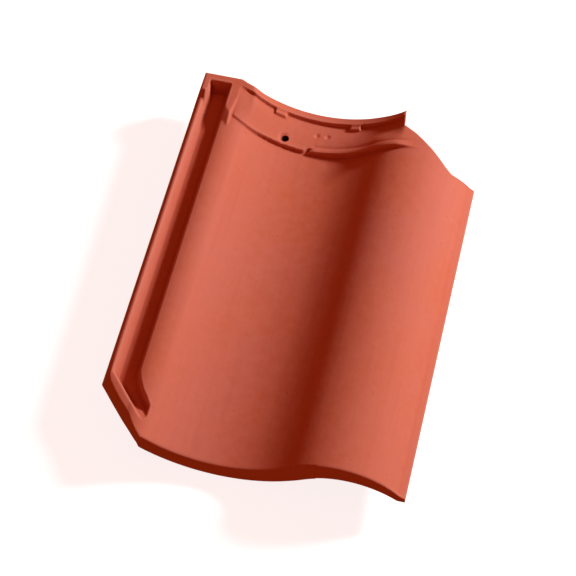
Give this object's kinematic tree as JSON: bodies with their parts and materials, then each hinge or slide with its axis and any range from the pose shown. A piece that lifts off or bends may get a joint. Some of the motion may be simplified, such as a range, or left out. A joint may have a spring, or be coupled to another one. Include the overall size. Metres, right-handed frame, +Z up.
{
  "type": "clay roof tile",
  "caption": "Interlocking clay pantile with a concave pan, a convex roll, a side lock with a water channel and a ribbed head.",
  "frame": {"origin": "centre of the tile's box, at the floor it lies on", "axes": "+Y up the roof slope from the nose to the head, +X across from the side lock to the roll, +Z up out of the weather face; the tile lies as it rests on a floor, its head raised 1.6 degrees by its nibs"},
  "size_m": [0.264, 0.365, 0.067],
  "materials": {
    "fired_clay": "matt natural red, unglazed"
  },
  "bodies": {
    "root": {"tile": "fired_clay"}
  },
  "joints": []
}
